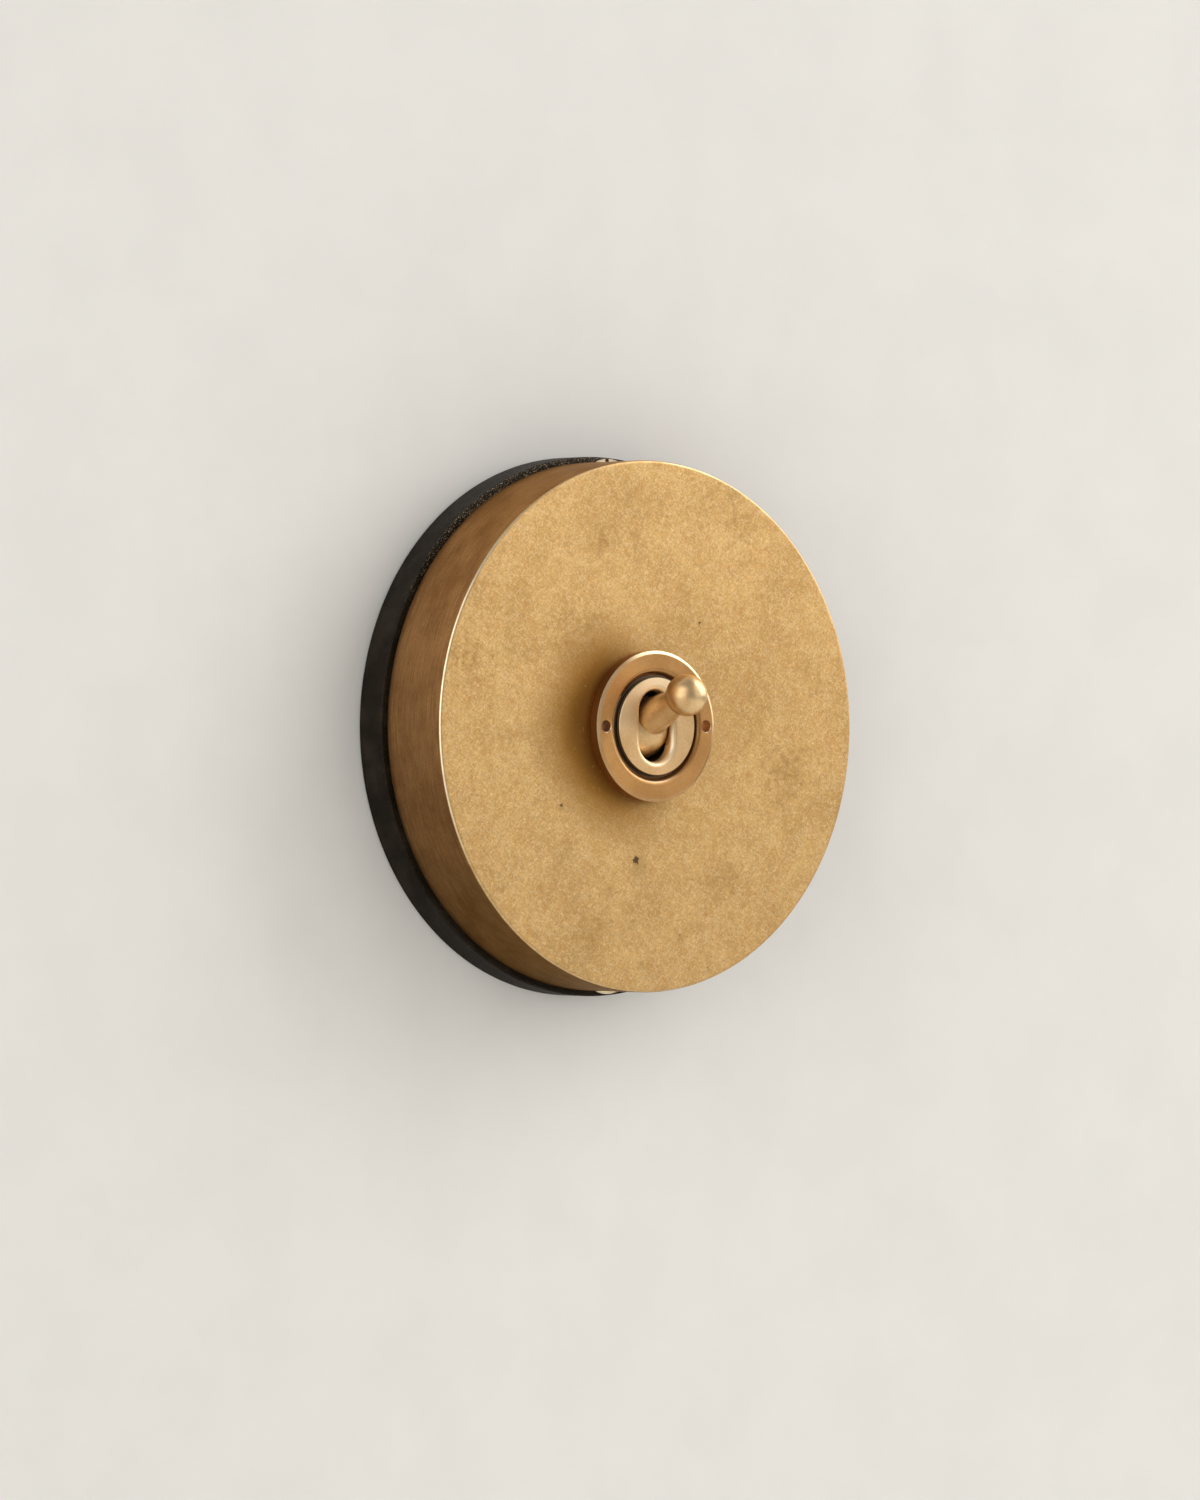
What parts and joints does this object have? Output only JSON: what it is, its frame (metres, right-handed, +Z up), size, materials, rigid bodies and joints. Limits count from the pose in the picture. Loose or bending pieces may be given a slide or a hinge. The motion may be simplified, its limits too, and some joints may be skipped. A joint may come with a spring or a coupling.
{
  "type": "dolly switch",
  "caption": "Round surface-mounted wall switch with an antique brass drum cover on a black base, worked by a brass dolly lever with a ball knob.",
  "frame": {"origin": "middle of the flat back face that meets the wall", "axes": "+Z up the wall, the front with the dolly faces -Y, +X to the right as seen from the front, +Y into the wall"},
  "size_m": [0.092, 0.0341, 0.092],
  "materials": {
    "antique_brass": "antique brass, mottled face, brushed skirt, rubbed edge",
    "satin_brass": "satin aged brass",
    "screw_brass": "tarnished brass",
    "plain_brass": "plain turned brass",
    "black_base": "satin near-black",
    "brown_moulding": "dark brown moulding",
    "red_fibre": "vulcanised fibre",
    "white_nylon": "natural nylon",
    "bright_steel": "zinc-plated steel",
    "silver_contact": "silver contact face"
  },
  "bodies": {
    "housing": {"base": "black_base", "screw_inserts": "plain_brass", "cover": "antique_brass", "cover_screws": "screw_brass", "ring_nut": "satin_brass", "bush": "satin_brass", "clamp_washer": "red_fibre", "flange_screws": "bright_steel", "pivot_pin": "bright_steel", "fixed_contacts": "silver_contact", "upper_terminal": "plain_brass", "lower_terminal": "plain_brass", "common_terminal": "plain_brass", "terminal_screws": "screw_brass", "switch_body": "brown_moulding", "body_backplate": "brown_moulding", "backplate_screws": "bright_steel", "earth_terminal": "plain_brass", "earth_screw": "screw_brass"},
    "lever": {"dolly": "satin_brass", "plunger_spring": "bright_steel"},
    "detent": {"plunger": "white_nylon"},
    "contact_arm": {"rocker": "plain_brass", "rocker_contacts": "silver_contact"}
  },
  "joints": [
    {"name": "dolly_tilt", "type": "hinge", "parent": "housing", "child": "lever", "pos_m": [0, -0.017, 0], "axis": [1, 0, 0], "range_deg": [0, 42]},
    {"name": "rocker_tilt", "type": "hinge", "parent": "housing", "child": "contact_arm", "pos_m": [0, -0.00696, 0], "axis": [1, 0, 0], "range_deg": [-16, 0]},
    {"name": "plunger_slide", "type": "slide", "parent": "lever", "child": "detent", "axis": [0, -0.9336, 0.3584], "range_m": [0, 0.0008], "stiffness_N_per_m": 600, "springref_m": -0.001, "deforming": ["plunger_spring"]}
  ],
  "couplings": [
    {"joint": "rocker_tilt", "follows": "dolly_tilt", "ratio": -0.38095}
  ]
}
